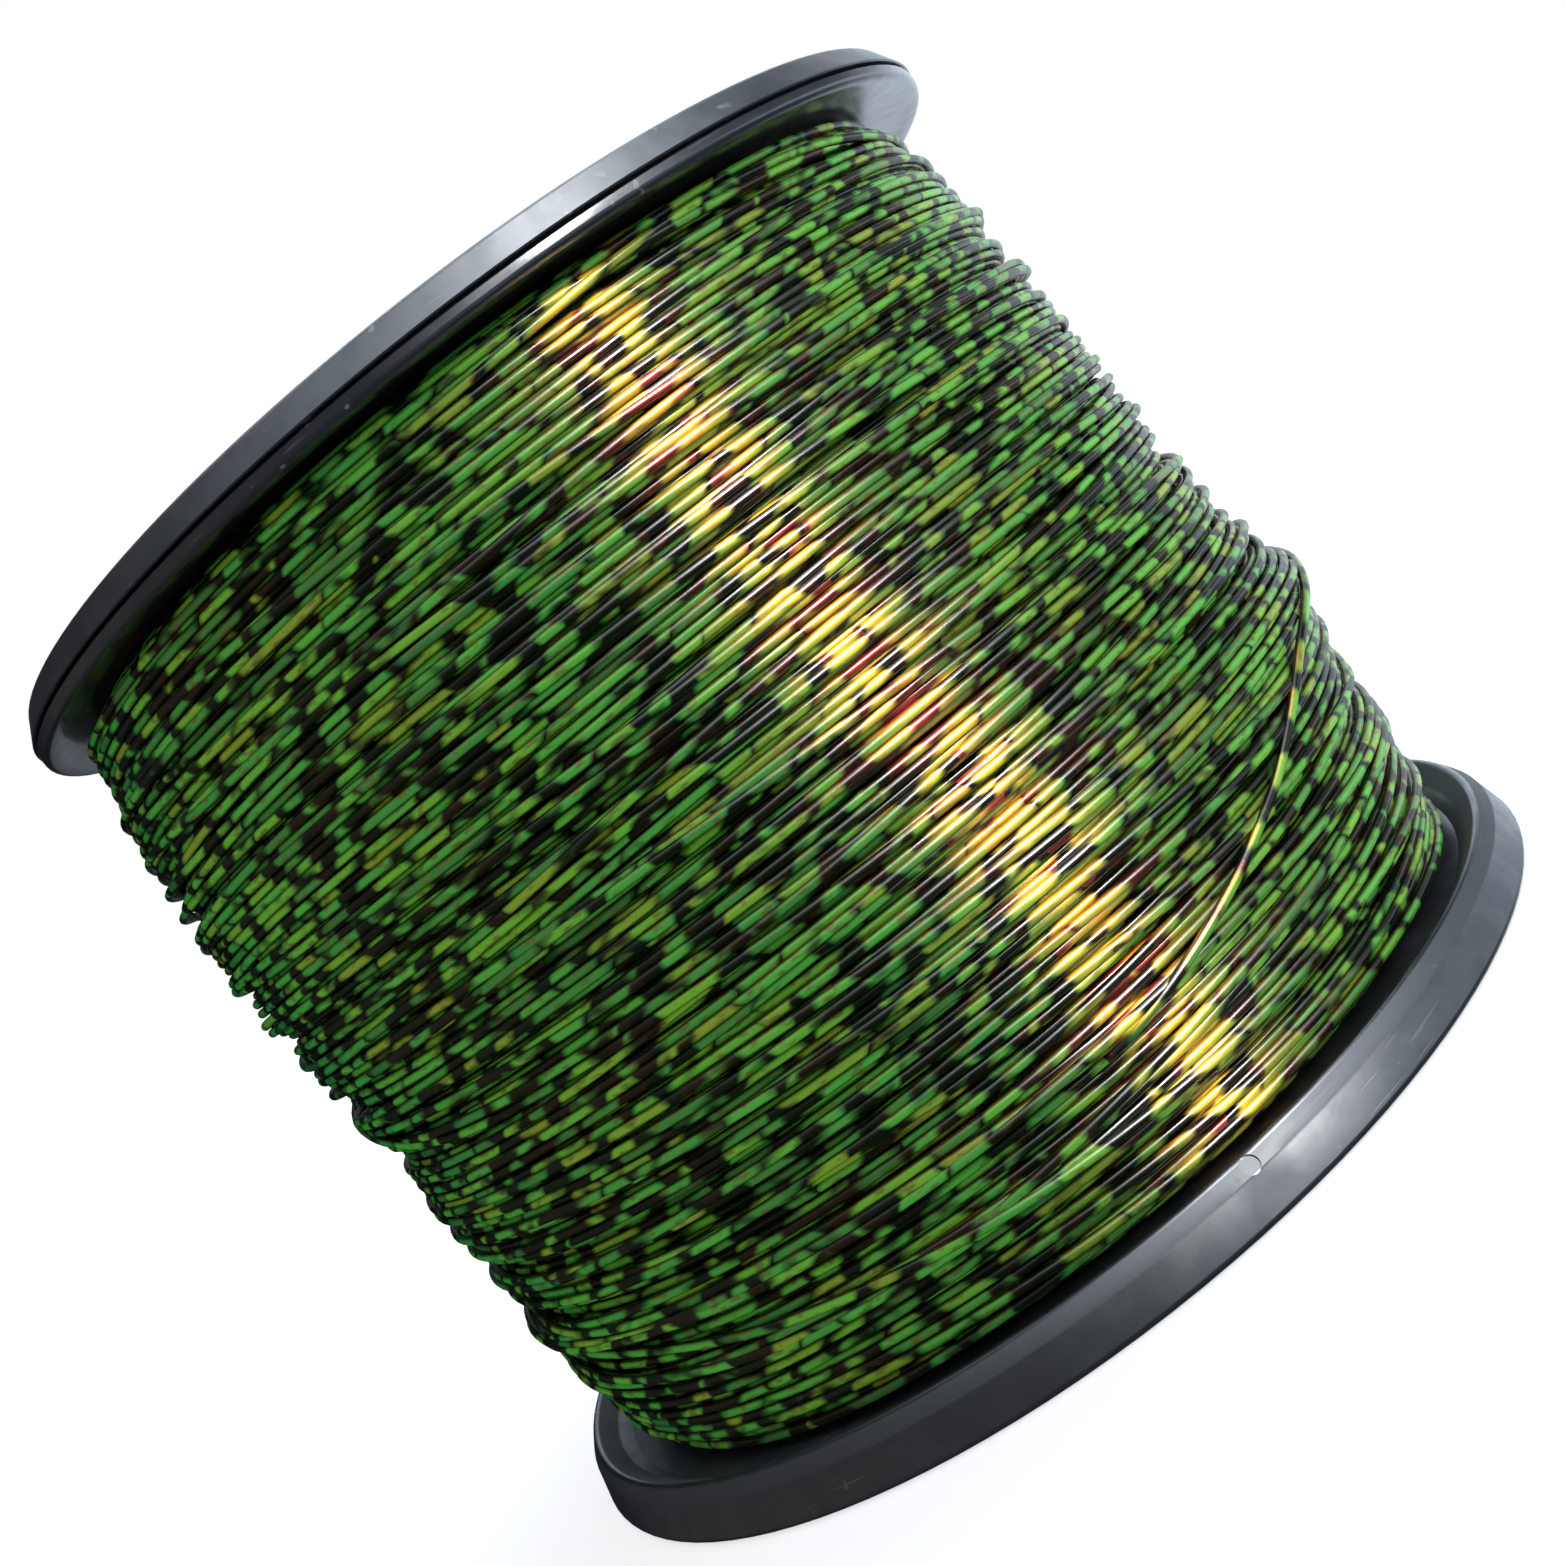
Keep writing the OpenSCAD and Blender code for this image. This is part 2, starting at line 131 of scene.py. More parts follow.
def tube(name, path, radius, sides, per_turn, material):
    """A round tube along a path. Each ring stands square to the path; its corner at angle w is
    the path's point plus the radius times cos w outwards and sin w upwards. The map 'strand'
    holds the length run so far and the way round; the map 'OFBake' lays the turns out as
    strips, one above the other."""
    n = len(path)
    way = np.gradient(path, axis=0)
    way /= np.linalg.norm(way, axis=1, keepdims=True)
    out = path * [1, 1, 0]
    out /= np.linalg.norm(out, axis=1, keepdims=True)
    out -= (out * way).sum(1, keepdims=True) * way
    out /= np.linalg.norm(out, axis=1, keepdims=True)
    up = np.cross(out, way)
    w = np.arange(sides) * 2 * np.pi / sides
    rings = path[:, None] + radius * (np.cos(w)[None, :, None] * out[:, None]
                                      + np.sin(w)[None, :, None] * up[:, None])
    i, k = np.meshgrid(np.arange(n - 1), np.arange(sides), indexing="ij")
    step = (k + 1) % sides
    quads = np.stack([i * sides + k, (i + 1) * sides + k,
                      (i + 1) * sides + step, i * sides + step], -1).reshape(-1, 4)
    run = np.concatenate([[0], np.cumsum(np.linalg.norm(np.diff(path, axis=0), axis=1))])
    turns = math.ceil((n - 1) / per_turn)
    turn, place = i // per_turn, i % per_turn
    corners = ((0, 0), (1, 0), (1, 1), (0, 1))
    strand = np.stack([np.stack([run[i + a], (k + b) / sides], -1) for a, b in corners], 2)
    strips = np.stack([np.stack([(place + a) / per_turn, (turn + (k + b) / sides) / turns], -1)
                       for a, b in corners], 2)
    first, last = np.arange(sides), (n - 1) * sides + np.arange(sides)[::-1]
    part_way = np.arange(sides) / sides
    strand_ends = np.concatenate([np.stack([np.full(sides, run[0]), part_way], -1),
                                  np.stack([np.full(sides, run[-1]), part_way[::-1]], -1)])
    strip_ends = np.concatenate([np.stack([np.zeros(sides), part_way / turns], -1),
                                 np.stack([np.ones(sides), 1 - part_way / turns], -1)])
    maps = {"strand": np.concatenate([strand.reshape(-1, 2), strand_ends]),
            "OFBake": np.concatenate([strips.reshape(-1, 2), strip_ends])}
    return put_in_mesh(name, rings.reshape(-1, 3), quads, [first, last], maps, material)


class Finish:
    """One output of a node in a material. Sums and products of such outputs add Math nodes,
    and node() adds any other node beside it."""

    def __init__(self, tree, socket):
        self.tree, self.socket = tree, socket

    def node(self, kind, settings=None, inputs=None, output=0):
        made = self.tree.nodes.new(kind)
        for key, value in (settings or {}).items():
            if key == "stops":
                ramp = made.color_ramp
                while len(ramp.elements) < len(value):
                    ramp.elements.new(0.5)
                for stop, (place, colour) in zip(ramp.elements, value):
                    stop.position, stop.color = place, colour
            else:
                setattr(made, key, value)
        for key, value in (inputs or {}).items():
            if isinstance(value, Finish):
                self.tree.links.new(value.socket, made.inputs[key])
            else:
                made.inputs[key].default_value = value
        return Finish(self.tree, made.outputs[output])

    def maths(self, operation, *values):
        return self.node("ShaderNodeMath", {"operation": operation}, dict(enumerate(values)))

    def __add__(self, other):
        return self.maths("ADD", self, other)

    def __sub__(self, other):
        return self.maths("SUBTRACT", self, other)

    def __rsub__(self, other):
        return self.maths("SUBTRACT", other, self)

    def __mul__(self, other):
        return self.maths("MULTIPLY", self, other)

    def __truediv__(self, other):
        return self.maths("DIVIDE", self, other)

    __radd__ = __add__
    __rmul__ = __mul__

    def part(self, axis):
        return self.node("ShaderNodeSeparateXYZ", {}, {0: self}, axis)

    def between(self, low, high, start=0.0, end=1.0):
        """0 below low, 1 above high, and an even, soft change between the two."""
        return self.node("ShaderNodeMapRange", {"interpolation_type": "SMOOTHSTEP"},
                         {"Value": self, "From Min": low, "From Max": high,
                          "To Min": start, "To Max": end})

    def mix(self, first, second):
        """The first colour where this is 0 and the second where it is 1."""
        return self.node("ShaderNodeMix", {"data_type": "RGBA"},
                         {"Factor": self, 6: first, 7: second}, 2)


def new_material(name, place="Object"):
    """An empty material, its output node, and the place that its patterns read."""
    material = bpy.data.materials.new(name)
    material.use_nodes = True
    tree = material.node_tree
    tree.nodes.clear()
    output = tree.nodes.new("ShaderNodeOutputMaterial")
    if place == "Object":
        source = tree.nodes.new("ShaderNodeTexCoord").outputs["Object"]
    else:
        source = tree.nodes.new("ShaderNodeUVMap")
        source.uv_map = place
        source = source.outputs[0]
    return material, output, Finish(tree, source)


# Length in mm of one green part with the dark part after it.
DASH = 5.1


def line_material(name, stretch):
    """Clear nylon dyed in dashes: green for about half of each 5 mm and near-black for the
    rest, with slanting, soft ends and a new tint and length for each dash. Painted shade
    darkens the strand's sides, away from its outward part, in place of the dye. A bright
    skin takes the white glints and draws them out along the strand. A faint sheen, wide
    across the strand and narrow along it, takes the warm ones. The stretch, 0 to 1, says
    how uneven both are."""
    material, output, place = new_material(name, "strand")
    run, way_round = place.part(0) * 1000, place.part(1)
    side = way_round * (2 * math.pi)
    outward = side.maths("COSINE", side)
    drift = place.node("ShaderNodeTexNoise", {"noise_dimensions": "1D"},
                       {"W": run * 0.08, "Scale": 1.0, "Detail": 1.0})
    twist = place.node("ShaderNodeTexNoise", {"noise_dimensions": "1D"},
                       {"W": run * 0.3 + 40, "Scale": 1.0, "Detail": 0.0})
    turned = side + twist * 9
    count = run / DASH + drift * 1.8 + turned.maths("SINE", turned) * 0.10
    dash = count.maths("FLOOR", count)
    here = count - dash
    tint, length, depth = (place.node("ShaderNodeTexWhiteNoise", {"noise_dimensions": "1D"},
                                      {"W": dash + start}) for start in (0.0, 0.5, 0.25))
    off = here.maths("ABSOLUTE", here - 0.5)
    spool_place = Finish(place.tree, place.tree.nodes.new("ShaderNodeTexCoord").outputs["Object"])
    bunch = place.node("ShaderNodeTexNoise", {},
                       {"Vector": spool_place, "Scale": 260.0, "Detail": 1.0})
    inside = length * 0.17 + 0.21 + bunch.between(0.35, 0.65, -0.14, 0.14) - off
    green = inside.between(-0.10, 0.15)

    spot = place.node("ShaderNodeCombineXYZ", {}, {0: run * 0.7, 1: way_round * 3.0})
    fleck = place.node("ShaderNodeTexNoise", {"noise_dimensions": "2D"},
                       {"Vector": spot, "Scale": 1.0, "Detail": 2.0})
    leaf = tint.node("ShaderNodeValToRGB",
                     {"stops": [(0.0, (0.008, 0.23, 0.044, 1)), (0.25, (0.018, 0.42, 0.060, 1)),
                                (0.55, (0.046, 0.55, 0.058, 1)), (0.82, (0.135, 0.58, 0.036, 1)),
                                (1.0, (0.25, 0.41, 0.026, 1))]}, {"Fac": tint})
    leaf = fleck.between(0.54, 0.70, 0.0, 0.7).mix(leaf, (0.10, 0.12, 0.03, 1))
    soot = depth.mix((0.0010, 0.0095, 0.0012, 1), (0.0050, 0.0100, 0.0015, 1))
    dye_and_painted_shade = green.mix(soot, leaf)
    # Painted shade: the sides of each strand, where it meets its neighbours, get a near-black
    # colour instead of the dye.
    dye_and_painted_shade = outward.between(0.30, 0.92).mix((0.0015, 0.011, 0.002, 1), dye_and_painted_shade)
    gold = depth.node("ShaderNodeValToRGB",
                      {"stops": [(0.0, (1.0, 0.66, 0.07, 1)), (0.45, (1.0, 0.47, 0.035, 1)),
                                 (1.0, (0.95, 0.25, 0.02, 1))]}, {"Fac": depth})
    ember = depth.between(0.50, 0.85).mix((0.020, 0.004, 0.003, 1), (0.66, 0.055, 0.035, 1))
    warm = green.mix(ember, gold)
    skin = place.node("ShaderNodeBsdfPrincipled", {},
                      {"Base Color": dye_and_painted_shade, "Roughness": 0.24, "IOR": 1.53,
                       "Anisotropic": stretch * 0.7})
    sheen = place.node("ShaderNodeBsdfPrincipled", {},
                       {"Base Color": warm, "Roughness": 0.35, "Metallic": 1.0,
                        "Anisotropic": stretch, "Anisotropic Rotation": 0.25})
    share = fleck.between(0.3, 0.7, 0.10, 0.18) * (green * 0.5 + 0.5)
    both = place.node("ShaderNodeMixShader", {}, {0: share, 1: skin, 2: sheen})
    place.tree.links.new(both.socket, output.inputs["Surface"])
    return material


route = through(ROUTE, 6)
bearing, route_z = np.radians(route[:, 0]), route[:, 1] / 1000
radius = wound_radius(bearing, route_z) + LINE_D / 2 + route[:, 2] / 1000
strand_path = np.stack([radius * np.cos(bearing), radius * np.sin(bearing), route_z], -1)
loose_strand = tube("loose_strand", strand_path, LINE_D / 2, 12, len(strand_path) - 1,
                    line_material("loose_line", 0.0))
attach(loose_strand, "spool")
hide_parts("line_tail")

# ------------------------------------------------------------------ wound line
# The line itself: a single strand wound on under tension, back and forth along the drum.
# Each turn is laid on those under it and slips sideways into the groove between them.
STATIONS = 128                 # points in each turn
SIDES = (6, 8, 10, 12)         # corners round the line, for each pass; the outer ones have more
RAISED = 0.4                   # mm that the top turns stand over the wound surface
LOW_END, HIGH_END = 2.6, 71.7  # mm, the heights that the turns stay between
LOOK_BACK = 260                # earlier turns that a turn may rest on

# For each pass: first height, last height, pitch, drift and jump, all in mm.
PASSES = [(2.9, 71.3, 0.73, 0.05, 0.0), (71.2, 3.4, 0.93, 0.22, 0.10),
          (3.2, 71.3, 1.12, 0.34, 0.25), (71.0, 3.6, 1.75, 0.45, 0.55)]


def blurred(values, spread):
    """Each value replaced by the bell-weighted mean of its neighbours along the first axis."""
    reach = int(math.ceil(spread * 3))
    bell = np.exp(-0.5 * (np.arange(-reach, reach + 1) / spread) ** 2)
    padded = np.concatenate([np.repeat(values[:1], reach, 0), values,
                             np.repeat(values[-1:], reach, 0)])
    return np.convolve(padded, bell / bell.sum(), "valid")


def wander(rng, count, spread):
    """Random sideways drift along the line, of mean size 1: noise blurred over the spread."""
    noise = blurred(rng.standard_normal(count + 400), spread)[200:200 + count]
    return noise / noise.std()


def guide(rng):
    """Height of the line along its length: passes up and down the drum at their own pitch,
    each with a drift, and with rarer, larger jumps, that the cube of a drift gives."""
    heights, sizes = [], []
    for start, end, pitch, drift, jump in PASSES:
        turns = int(abs(end - start) / pitch)
        count = turns * STATIONS
        z = np.linspace(start, end, count, endpoint=False)
        ease = np.clip(np.minimum(z - 2.6, 71.8 - z) / 5, 0.25, 1)
        z = z + ease * (drift * wander(rng, count, 0.11 * STATIONS)
                        + jump * 0.35 * wander(rng, count, 0.07 * STATIONS) ** 3)
        heights.append(np.clip(z, 2.62, 71.68))
        sizes.append(turns)
    return np.clip(blurred(np.concatenate(heights), 3.0), 2.62, 71.62), sizes


def settled(z, d, sizes):
    """Radius of each point over a plain drum, in mm. A turn rests on every earlier turn that is
    less than a diameter d away in height, at that turn's radius plus the root of d squared less
    the height difference squared. Before that it slips downhill, a little at a time."""
    turns = sum(sizes)
    z = z[:turns * STATIONS].reshape(turns, STATIONS)
    r = np.zeros_like(z)
    hold = np.exp(-np.arange(STATIONS) / 8)

    def support(height, upto):
        first = max(0, upto - LOOK_BACK)
        gap = np.abs(z[first:upto] - height)
        rest = r[first:upto] + np.sqrt(np.maximum(d * d - gap * gap, 0))
        return np.where(gap < d, rest, 0).max(0)

    for turn in range(1, turns):
        height = z[turn].copy()
        for _ in range(7):
            slope = (support(height + 0.04, turn) - support(height - 0.04, turn)) / 0.08
            height = height - np.clip(0.12 * slope, -0.05, 0.05)
            height = blurred(height, 2.0)
        expected = 2 * z[turn - 1, -1] - z[turn - 1, -2]
        height = height + (expected - height[0]) * hold
        z[turn] = np.clip(height, LOW_END, HIGH_END)
        r[turn] = support(z[turn], turn)
    return z.ravel(), blurred(r.ravel(), 2.0)


rng = np.random.default_rng(7)
line_mm = LINE_D * 1000
z, pass_turns = guide(rng)
z, r = settled(z, line_mm, pass_turns)
z = blurred(z, 1.0)
angle = (np.arange(len(z)) % STATIONS) * 2 * np.pi / STATIONS + math.radians(95)

# The lie of the turns is kept, and the whole is raised or lowered to the wound surface. What
# stands above it is pressed down to a quarter.
ROW = 0.5
rows = np.arange(0, 76, ROW)
station = np.arange(len(z)) % STATIONS
top = np.zeros((len(rows), STATIONS))
cell = np.clip(np.round(z / ROW).astype(int), 1, len(rows) - 2)
for step in (-1, 0, 1):
    np.maximum.at(top, (cell + step, station), r)
bell_z = np.exp(-0.5 * ((rows[:, None] - rows[None]) / 3.0) ** 2)
turn_gap = (np.arange(STATIONS)[:, None] - np.arange(STATIONS)[None] + STATIONS / 2) % STATIONS
bell_a = np.exp(-0.5 * ((turn_gap - STATIONS / 2) / 5.0) ** 2)
mean_top = (bell_z @ top @ bell_a) / (bell_z @ (top > 0) @ bell_a + 1e-9)
low_row = np.clip((z / ROW).astype(int), 0, len(rows) - 2)
part = z / ROW - low_row
height = r - mean_top[low_row, station] * (1 - part) - mean_top[low_row + 1, station] * part
height = np.where(height > 0.1, 0.1 + 0.25 * (height - 0.1), height) + RAISED
laid = wound_radius(angle, z / 1000, 0.5) * 1000 - line_mm / 2 + height
line_path = np.stack([laid * np.cos(angle), laid * np.sin(angle), z], -1) / 1000

wound_line = line_material("wound_line", 1.0)
laid_turns = 0
for number, turns in enumerate(pass_turns):
    last = min((laid_turns + turns) * STATIONS + 1, len(line_path))
    turns_piece = tube(f"turns_{number + 1}", line_path[laid_turns * STATIONS:last], LINE_D / 2,
                       SIDES[number], STATIONS, wound_line)
    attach(turns_piece, "spool")
    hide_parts("line_winding")
    laid_turns += turns

# ------------------------------------------------------------------ inner turns
# The rest of the line, hidden under the outer turns: packed turns on the drum, with their
# ends lying flat against both flanges.
RIB_STEPS, ROUND_STEPS, RIBS = 6, 96, 96
RIB_PITCH = 0.722                      # mm, from one packed turn to the next
RIB_HEIGHT, DRUM_R = 0.00033, 0.02625
DEPTH = 0.00275                        # how far they lie under the wound surface


def inner_radius(angle, z, deep):
    """The wound surface less a depth, with a half-round rib for each packed turn."""
    rib = np.sqrt(np.maximum(0, 1 - (2 * ((z * 1000 - 2.45) / RIB_PITCH % 1) - 1) ** 2))
    return wound_radius(angle, z) - deep + RIB_HEIGHT * rib


a = np.arange(ROUND_STEPS) * 2 * np.pi / ROUND_STEPS
heights = np.linspace(0.00245, 0.07185, RIBS * RIB_STEPS + 1)
rib_r = inner_radius(a[None], heights[:, None], DEPTH)
drum = np.full((1, ROUND_STEPS), DRUM_R)
profile_r = np.vstack([drum, rib_r, drum])
profile_z = np.concatenate([[0.0023], heights, [0.072]])[:, None] + 0 * profile_r
grid = np.stack([profile_r * np.cos(a), profile_r * np.sin(a), profile_z], -1)
count = len(grid)
i, k = np.meshgrid(np.arange(count), np.arange(ROUND_STEPS), indexing="ij")
next_row, next_step = (i + 1) % count, (k + 1) % ROUND_STEPS
faces = np.stack([i * ROUND_STEPS + k, i * ROUND_STEPS + next_step,
                  next_row * ROUND_STEPS + next_step, next_row * ROUND_STEPS + k],
                 -1).reshape(-1, 4)
u = np.stack([k, k + 1, k + 1, k], -1) / ROUND_STEPS
v = np.stack([i, i, i + 1, i + 1], -1) / count
strand = np.stack([u * 0.26, v * RIBS], -1).reshape(-1, 2)
sheet = np.stack([u, v], -1).reshape(-1, 2)
inner_turns = put_in_mesh("inner_turns", grid.reshape(-1, 3), faces, [],
                          {"strand": strand, "OFBake": sheet}, wound_line)
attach(inner_turns, "spool")
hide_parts("line_core")

# ------------------------------------------------------------------ spool halves and cap
# The two halves and the keeper cap are moulded from black plastic. Their rims are satin and
# finely scratched; the edges of the lips are polished by the line that runs over them.
SHARP_DEGREES = 35


def smooth_faces():
    """A modifier's nodes that join the CAD node's loose triangles and shade them smooth, but
    for the edges where two faces meet at more than SHARP_DEGREES."""
    group = bpy.data.node_groups.new("smooth_faces", "GeometryNodeTree")
    for way in ("INPUT", "OUTPUT"):
        group.interface.new_socket("Geometry", in_out=way, socket_type="NodeSocketGeometry")
    solid = Finish(group, group.nodes.new("NodeGroupInput").outputs[0])
    joined = solid.node("GeometryNodeMergeByDistance", {}, {"Geometry": solid, "Distance": 2e-6})
    fold = solid.node("GeometryNodeInputMeshEdgeAngle", {}, {})
    sharp = solid.node("FunctionNodeCompare", {"operation": "GREATER_THAN"},
                       {0: fold, 1: math.radians(SHARP_DEGREES)})
    smooth = solid.node("GeometryNodeSetShadeSmooth", {"domain": "FACE"},
                        {"Geometry": joined, "Shade Smooth": True})
    smooth = solid.node("GeometryNodeSetShadeSmooth", {"domain": "EDGE"},
                        {"Geometry": smooth, "Selection": sharp, "Shade Smooth": False})
    group.links.new(smooth.socket, group.nodes.new("NodeGroupOutput").inputs[0])
    return group


def black_plastic(name):
    """Black moulded plastic. The rims have a mottled satin face with a fine grain. The lower
    lip's slanting face, 3 to 4 mm up, is rubbed dull; its crest and the upper lip, 71 to
    72.7 mm up, are glossy. There are faint scratches round the rim and a little dust."""
    material, output, place = new_material(name)
    height = place.part(2) * 1000
    grain = place.node("ShaderNodeTexNoise", {}, {"Vector": place, "Scale": 2600.0, "Detail": 2.0})
    mottle = place.node("ShaderNodeTexNoise", {}, {"Vector": place, "Scale": 420.0, "Detail": 3.0})
    patch = place.node("ShaderNodeTexNoise", {}, {"Vector": place, "Scale": 55.0, "Detail": 3.0})
    dust = place.node("ShaderNodeTexNoise", {}, {"Vector": place, "Scale": 900.0, "Detail": 1.0})
    stretched = place.node("ShaderNodeMapping", {}, {"Vector": place, "Scale": (160, 160, 4200)})
    line = place.node("ShaderNodeTexNoise", {}, {"Vector": stretched, "Scale": 1.0, "Detail": 2.0})
    scratch = line.between(0.66, 0.72) * patch.between(0.46, 0.56)
    speck = dust.between(0.70, 0.74) * patch.between(0.5, 0.6)
    worn = height.between(2.8, 3.0) * height.between(4.0, 3.8)
    lip = height.between(3.8, 3.95) * height.between(4.3, 4.2)
    lip = lip + height.between(71.0, 71.2) * height.between(72.72, 72.62)
    mark = speck.maths("MAXIMUM", speck, scratch * 0.35)
    colour = mark.mix((0.017, 0.020, 0.026, 1), (0.13, 0.13, 0.135, 1))
    satin = patch * 0.10 + mottle * 0.10 + 0.31
    rough = satin + (0.16 - satin) * lip.maths("MINIMUM", lip, 1.0) + mark * 0.15 + worn * 0.18
    blotch = (patch * 0.35 + mottle * 0.65).between(0.42, 0.58, 0.6, 0.95) * (1 - worn * 0.85)
    relief = grain * 0.4 + mottle * 0.6 - scratch * 0.8
    bump = place.node("ShaderNodeBump", {},
                      {"Height": relief, "Strength": 0.2, "Distance": 0.00008})
    shader = place.node("ShaderNodeBsdfPrincipled", {},
                        {"Base Color": colour, "Roughness": rough, "Normal": bump, "IOR": 1.55,
                         "Specular Tint": (0.82, 0.91, 1.0, 1), "Coat Weight": blotch,
                         "Coat Roughness": 0.30})
    place.tree.links.new(shader.socket, output.inputs["Surface"])
    return material


plastic = black_plastic("black_plastic")
joined_faces = smooth_faces()
for name in ("lower_half", "upper_half", "keeper_cap"):
    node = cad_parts[name]
    node.data.materials.clear()
    node.data.materials.append(plastic)
    node.modifiers.new("smooth_faces", "NODES").node_group = joined_faces
    weighted = node.modifiers.new("flat_faces", "WEIGHTED_NORMAL")
    weighted.keep_sharp = True

# ------------------------------------------------------------------ labels
# A ring of plain uncoated paper is stuck in the recess of the lower flange and another in
# the keeper cap, round the spindle's hole.


def paper(name):
    """Uncoated paper: pale and dark fibres, a soft mottle, and edges a little browned and
    rubbed by handling, within 2 mm of the outer edge and of the hole."""
    material, output, place = new_material(name)
    radius = place.node("ShaderNodeVectorMath", {"operation": "LENGTH"},
                        {0: place.node("ShaderNodeVectorMath", {"operation": "MULTIPLY"},
                                       {0: place, 1: (1, 1, 0)})}, 1)
    fibres = place.node("ShaderNodeTexNoise", {},
                        {"Vector": place, "Scale": 1500.0, "Detail": 4.0, "Distortion": 2.5})
    mottle = place.node("ShaderNodeTexNoise", {}, {"Vector": place, "Scale": 90.0, "Detail": 3.0})
    edge = (radius + mottle * 0.0016).between(0.0385, 0.0408)
    edge = edge + (0.0172 - radius).between(0, 0.0016)
    pulp = (fibres * 0.72 + mottle * 0.28).between(0.34, 0.66)
    tone = pulp.mix((0.56, 0.53, 0.45, 1), (0.80, 0.765, 0.69, 1))
    tone = (edge * 0.6).mix(tone, (0.42, 0.35, 0.25, 1))
    rough = fibres * 0.2 + 0.72
    bump = place.node("ShaderNodeBump", {},
                      {"Height": fibres, "Strength": 0.6, "Distance": 0.00006})
    shader = place.node("ShaderNodeBsdfPrincipled", {},
                        {"Base Color": tone, "Roughness": rough, "Normal": bump})
    place.tree.links.new(shader.socket, output.inputs["Surface"])
    return material


label_paper = paper("label_paper")
for name in ("lower_label", "upper_label"):
    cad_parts[name].data.materials.clear()
    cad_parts[name].data.materials.append(label_paper)

# ------------------------------------------------------------------ start tape
# A short length of clear tape, yellowed by its glue, holds the first turns on the drum.


def tape_film():
    """Clear tape: a smooth face, with fine streaks along the drum and cloudy patches where
    the glue hasn't taken."""
    material, output, place = new_material("tape_film")
    streak = place.node("ShaderNodeTexNoise", {},
                        {"Vector": place.node("ShaderNodeMapping", {},
                                              {"Vector": place, "Scale": (300, 300, 2500)}),
                         "Scale": 1.0, "Detail": 2.0})
    cloud = place.node("ShaderNodeTexNoise", {}, {"Vector": place, "Scale": 220.0, "Detail": 3.0})
    tone = (cloud.between(0.45, 0.62) * 0.6 + streak * 0.3).mix((0.52, 0.42, 0.24, 1),
                                                                (0.78, 0.72, 0.55, 1))
    bump = place.node("ShaderNodeBump", {},
                      {"Height": streak, "Strength": 0.2, "Distance": 0.00003})
    shader = place.node("ShaderNodeBsdfPrincipled", {},
                        {"Base Color": tone, "Roughness": cloud * 0.2 + 0.12, "Normal": bump})
    place.tree.links.new(shader.socket, output.inputs["Surface"])
    return material


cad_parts["start_tape"].data.materials.clear()
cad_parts["start_tape"].data.materials.append(tape_film())

# ------------------------------------------------------------------ floor and light
# A plain pale floor in an even white surround. A tall, narrow lamp stands to the right of
# the camera and a small one hangs over it. Pale panels stand round about for the glossy
# faces to reflect.
bpy.ops.mesh.primitive_plane_add(size=16, location=(0, 0, 0))
floor = bpy.context.object
floor.name = "floor"
floor_paint, output, place = new_material("floor_paint")
pale = place.node("ShaderNodeBsdfPrincipled", {},
                  {"Base Color": (0.55, 0.55, 0.55, 1), "Roughness": 0.9,
                   "Specular IOR Level": 0.0,
                   "Emission Color": (1, 1, 1, 1), "Emission Strength": 0.66})
place.tree.links.new(pale.socket, output.inputs["Surface"])
floor.data.materials.append(floor_paint)
floor.visible_glossy = False
floor.visible_diffuse = False
floor.visible_shadow = False


def softbox(name, azimuth, elevation, distance, width, height, power, colour):
    """A rectangular light that faces the middle of the winding from a compass angle."""
    light = bpy.data.lights.new(name, "AREA")
    light.shape, light.size, light.size_y = "RECTANGLE", width, height
    light.energy, light.color = power, colour
    lamp = bpy.data.objects.new(name, light)
    a, e = math.radians(azimuth), math.radians(elevation)
    way = Vector((math.cos(a) * math.cos(e), math.sin(a) * math.cos(e), math.sin(e)))
    lamp.location = way * distance + Vector((0, 0, MID_Z))
    lamp.rotation_euler = way.to_track_quat("Z", "Y").to_euler()
    bpy.context.scene.collection.objects.link(lamp)
    return lamp


key = softbox("key", -57, 31, 0.6, 0.12, 0.32, 13.5, (1.0, 0.98, 0.95))
key.visible_diffuse = False
top = softbox("top", -36, 64, 0.6, 0.14, 0.14, 0.72, (1.0, 1.0, 1.0))
top.visible_diffuse = False

world = bpy.data.worlds.new("studio")
bpy.context.scene.world = world
world.use_nodes = True
world.cycles.sampling_method = "NONE"
tree = world.node_tree
tree.nodes.clear()

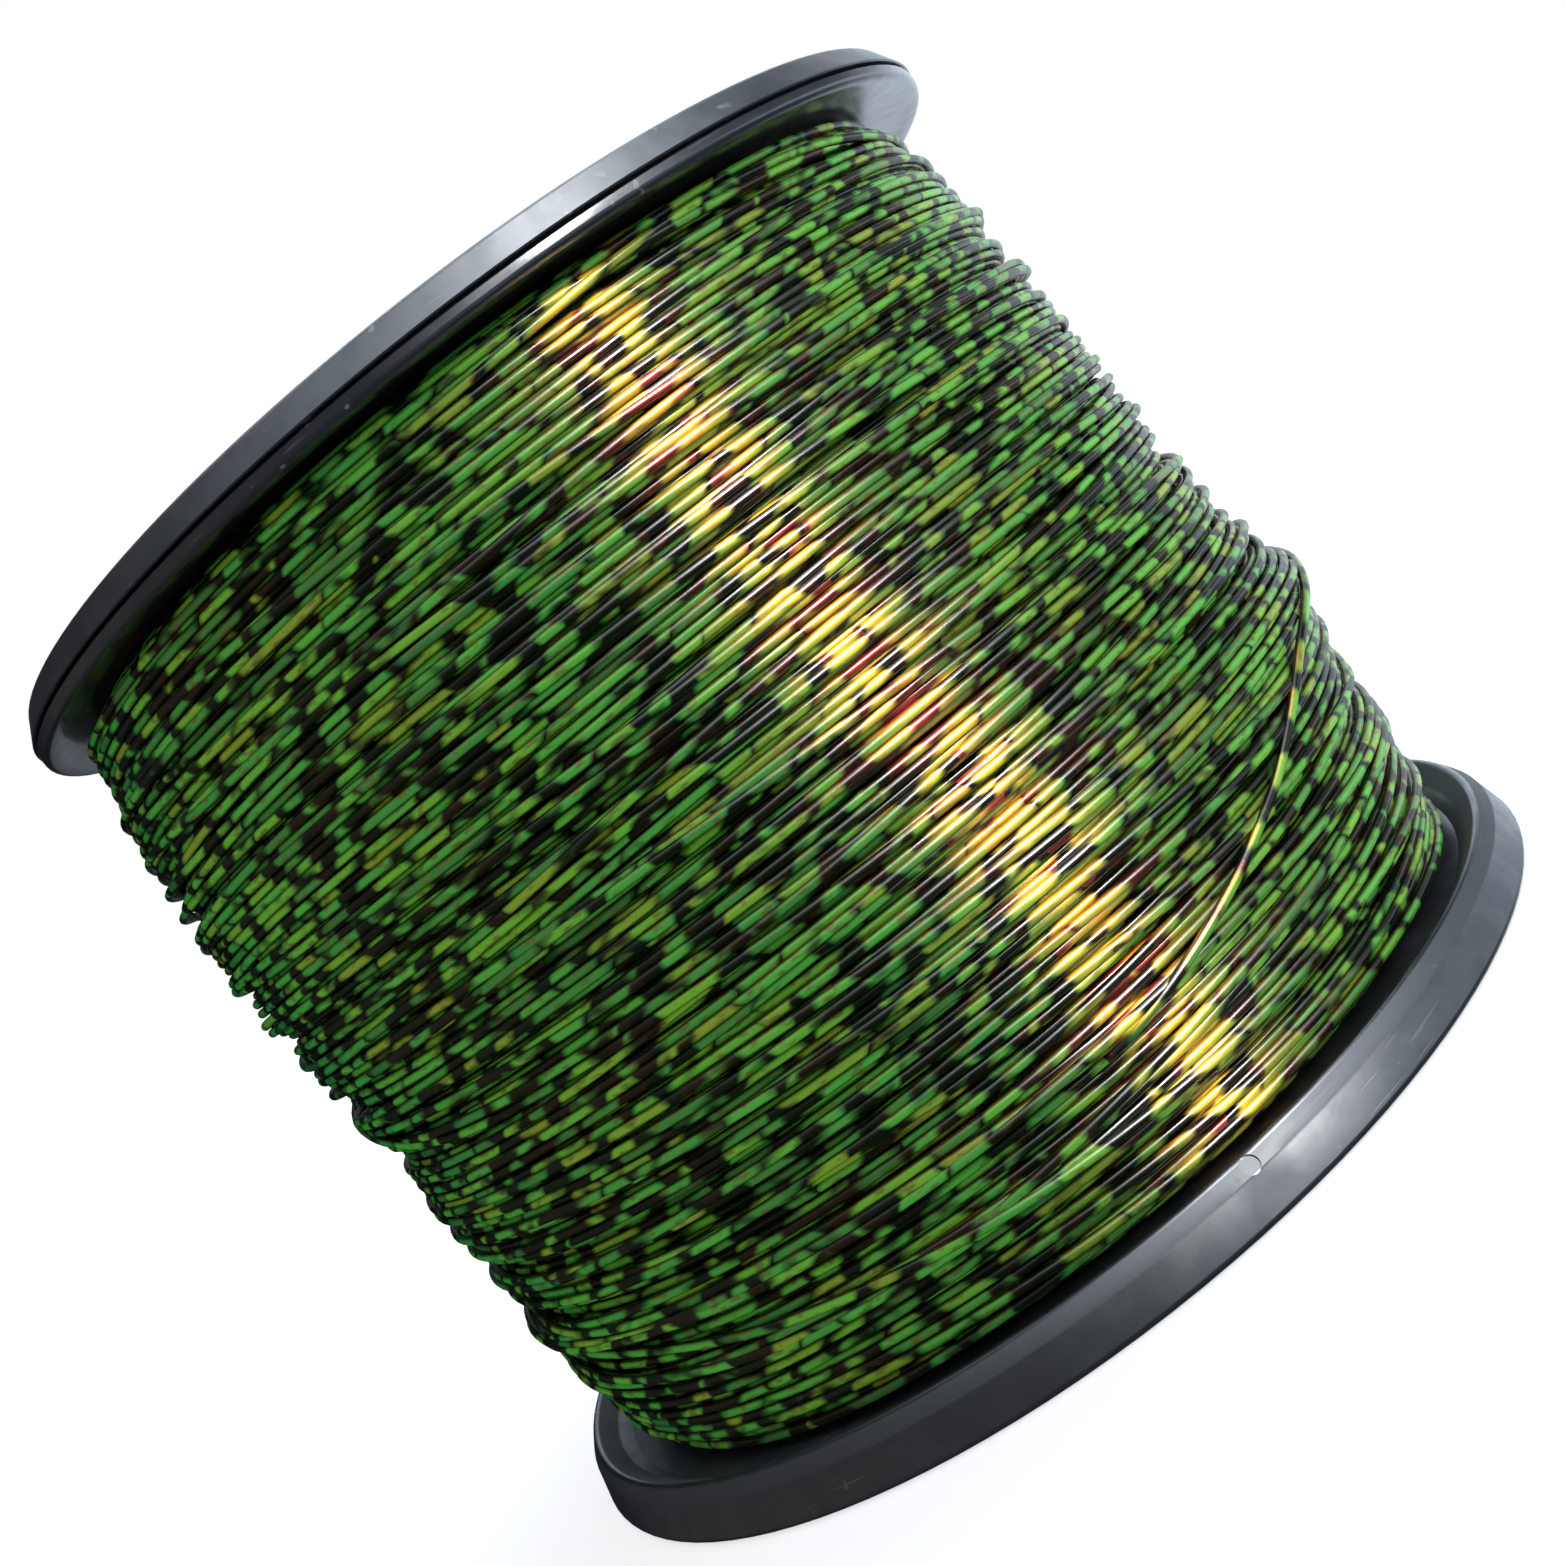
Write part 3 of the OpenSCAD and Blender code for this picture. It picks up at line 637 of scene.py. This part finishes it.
# Each panel is a patch of directions: x to the right, y away from the camera, z upwards.
way = Finish(tree, tree.nodes.new("ShaderNodeTexCoord").outputs["Generated"])
rise = way.part(2)
right = (way.part(0) * 0.87 + way.part(1) * 0.5).between(0.05, 0.95)
left = (way.part(0) * -0.9 - way.part(1) * 0.3).between(0.3, 0.95)
front = way.part(0) * 0.574 - way.part(1) * 0.819
behind = way.part(1).between(0.3, 0.85)
level_band = rise.between(-0.30, -0.15) - rise.between(0.10, 0.20)
side_panel = right * behind.maths("MAXIMUM", behind, level_band)
low_panel = (rise.between(0.02, 0.07) - rise.between(0.13, 0.18)) * front.between(0.82, 0.99)
wide_panel = (rise.between(0.13, 0.18) - rise.between(0.20, 0.25)) * front.between(0.75, 0.98)
high_panel = (rise.between(0.55, 0.68) - rise.between(0.78, 0.88)) * front.between(0.42, 0.66)
foot_panel = (rise.between(-0.55, -0.48) - rise.between(-0.36, -0.30)) * front.between(0.6, 0.98)
overhead = rise.between(0.68, 0.92) - rise.between(0.955, 0.985)
overhead = overhead * way.part(0).between(-0.75, 0.3)
glossy = (0.01 + side_panel * 1.15 + left * 0.12 + low_panel * 3.6 + wide_panel * 1.8
          + high_panel * 2.2 + foot_panel * 1.0 + overhead * 3.0)
matt = 0.72 + right * 2.4

# The camera sees plain white, matt faces see an even light that grows to the right, and
# glossy faces see the panels.
rays = tree.nodes.new("ShaderNodeLightPath")
to_camera = Finish(tree, rays.outputs["Is Camera Ray"])
to_matt = Finish(tree, rays.outputs["Is Diffuse Ray"])
strength = to_matt * matt + (1 - to_matt) * glossy
strength = to_camera + (1 - to_camera) * strength
cool_or_warm = left.mix((0.78, 0.88, 1.0, 1), (1.0, 0.80, 0.66, 1))
tone = (1 - to_camera).mix((1, 1, 1, 1), cool_or_warm)
surround = way.node("ShaderNodeBackground", {}, {"Color": tone, "Strength": strength})
tree.links.new(surround.socket, tree.nodes.new("ShaderNodeOutputWorld").inputs["Surface"])
bpy.context.scene.view_settings.view_transform = "Standard"
